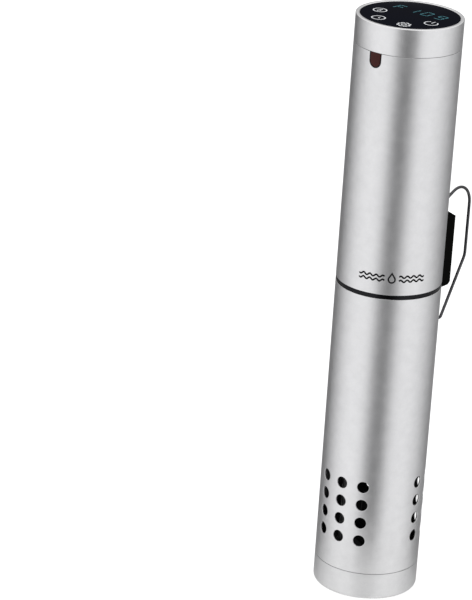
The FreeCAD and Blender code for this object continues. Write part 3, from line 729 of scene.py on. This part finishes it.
def print_on_glass(name, slot, strokes):
    """One piece from strokes of (line, width, closed), printed on the glass."""
    def make_mesh(bm):
        for line, width, closed in strokes:
            ribbon(bm, line, width, closed, on_glass, PRINT_DEPTH)
    return fitted(new_object(name, make_mesh), "housing", slot)


def make_glass():
    outline = rounded((
        (0.0, GLASS_LOW, 0),
        (GLASS_R, GLASS_LOW, 0),
        (GLASS_R, GLASS_HIGH, 0.3 * MM),
        (0.0, GLASS_HIGH, 0),
    ))
    fitted(lathe("glass_disc", outline, segments=160), "housing", "panel_glass", ["touch_glass"])


def gear_line(x, y, outer, inner, teeth=8):
    line = []
    for k in range(teeth):
        middle = 2 * math.pi * k / teeth
        for turn, radius in ((-0.24, inner), (-0.15, outer), (0.15, outer), (0.24, inner)):
            line.append((x + radius * math.cos(middle + turn), y + radius * math.sin(middle + turn)))
    return line


def make_keys():
    """Four printed touch keys: temperature, timer, settings and on/off."""
    line_w = 0.85 * MM
    fine_w = 0.6 * MM
    ring_r = 4.3 * MM
    x, y = -19.9 * MM, -5.6 * MM
    bulb = circle_points(x, y - 1.3 * MM, 1.1 * MM, 24, math.radians(125), math.radians(290))
    stem = [(x + 0.62 * MM, y + 2.2 * MM), (x - 0.62 * MM, y + 2.2 * MM)]
    print_on_glass("key_temperature", "key_print", [
        (circle_points(x, y, ring_r), line_w, True),
        (bulb + stem, 0.55 * MM, True),
    ])
    x, y = -9.9 * MM, -20.8 * MM
    hands = [(x, y + 2.3 * MM), (x, y), (x + 1.7 * MM, y - 0.9 * MM)]
    print_on_glass("key_timer", "key_print", [
        (circle_points(x, y, ring_r), line_w, True),
        (hands, fine_w, False),
    ])
    x, y = 10.3 * MM, -21.0 * MM
    print_on_glass("key_settings", "key_print", [
        (gear_line(x, y, 4.4 * MM, 3.4 * MM), 0.75 * MM, True),
        (circle_points(x, y, 1.5 * MM, 28), 0.7 * MM, True),
    ])
    x, y = 20.2 * MM, -5.2 * MM
    arc = circle_points(x, y, ring_r, 40, math.radians(125), math.radians(290))
    print_on_glass("key_power", "key_print", [
        (arc, line_w, False),
        ([(x, y + 4.8 * MM), (x, y + 0.4 * MM)], line_w, False),
    ])


SEGMENTS = {
    "a": ((0, 2), (1, 2)), "b": ((1, 2), (1, 1)), "c": ((1, 1), (1, 0)), "d": ((0, 0), (1, 0)),
    "e": ((0, 1), (0, 0)), "f": ((0, 2), (0, 1)), "g": ((0, 1), (1, 1)),
}
READING = ("aefg", "bc", "abcdef", "abcdfg")


def bars_on_glass(name, bars):
    def make_mesh(bm):
        for outline in bars:
            under = [bm.verts.new(on_glass(x, y, 0)) for x, y in outline]
            over = [bm.verts.new(on_glass(x, y, PRINT_DEPTH)) for x, y in outline]
            bm.faces.new(under[::-1])
            bm.faces.new(over)
            for k in range(len(outline)):
                n = (k + 1) % len(outline)
                bm.faces.new((under[k], under[n], over[n], over[k]))
    return new_object(name, make_mesh)


def make_digits():
    """Lit seven-segment readout of a set temperature."""
    width, half_height, slant, bar = 5.2 * MM, 4.0 * MM, 0.14, 0.58 * MM
    pitch = 10.8 * MM
    first_x = -18.2 * MM
    bars = []
    for place, shown in enumerate(READING):
        for name in shown:
            points = []
            for column, row in SEGMENTS[name]:
                rise = (row - 1) * half_height
                x = first_x + place * pitch + column * width + rise * slant
                points.append(Vector((x, DIGITS_Y + rise)))
            along = (points[1] - points[0]).normalized()
            across = Vector((-along.y, along.x)) * bar / 2
            start, end = points[0] + along * 0.15 * MM, points[1] - along * 0.15 * MM
            shoulder = along * bar / 2
            bars.append((start, start + shoulder - across, end - shoulder - across,
                         end, end - shoulder + across, start + shoulder + across))
    fitted(bars_on_glass("digits_lit", bars), "housing", "digit_lit")


# Printed mark on the tube

def make_tube_mark():
    """Generic mark: a water drop with two ripples each side."""
    centre_s = math.radians(38.0)
    centre_z = TUBE_LOW + 11.6 * MM
    drop_tip, drop_centre, drop_r = 3.6 * MM, -0.6 * MM, 2.2 * MM
    ripples = (-1.5 * MM, 1.3 * MM)
    ripple_start, ripple_length, ripple_height = 4.8 * MM, 17.6 * MM, 0.7 * MM
    steps, steps_per_wave = 72, 18

    def on_tube(x, y, lift):
        return on_stick(centre_s + x / STICK_R, centre_z + y, STICK_R + 0.01 * MM + lift)

    drop = [(0.0, drop_tip)]
    drop += circle_points(0.0, drop_centre, drop_r, 26, math.radians(155), math.radians(230))
    strokes = [(drop, 1.05 * MM, True)]
    for side in (-1, 1):
        for height in ripples:
            wave = []
            for k in range(steps + 1):
                x = ripple_start + ripple_length * k / steps
                wave.append((side * x, height + ripple_height * math.sin(2 * math.pi * k / steps_per_wave)))
            strokes.append((wave, 1.15 * MM, False))

    def make_mesh(bm):
        for line, width, closed in strokes:
            ribbon(bm, line, width, closed, on_tube, 0.03 * MM)
    fitted(new_object("tube_mark", make_mesh), "housing", "tube_print")


# CAD nodes that keep their own mesh

def finish_cad_nodes():
    """Each CAD node that still shows gets its slot's material."""
    for part in frame["record"]["subparts"]:
        obj = frame["nodes"][part["node"]]
        obj.data.materials.clear()
        obj.data.materials.append(MATERIALS[part["material_slot"]])


MATERIALS = make_materials()
make_camera()
make_studio_light()
make_floor()
make_sleeve()
make_upper_tube()
make_bezel()
make_band()
make_window()
make_glass()
make_keys()
make_digits()
make_tube_mark()
finish_cad_nodes()

bpy.context.scene.view_settings.view_transform = "Standard"
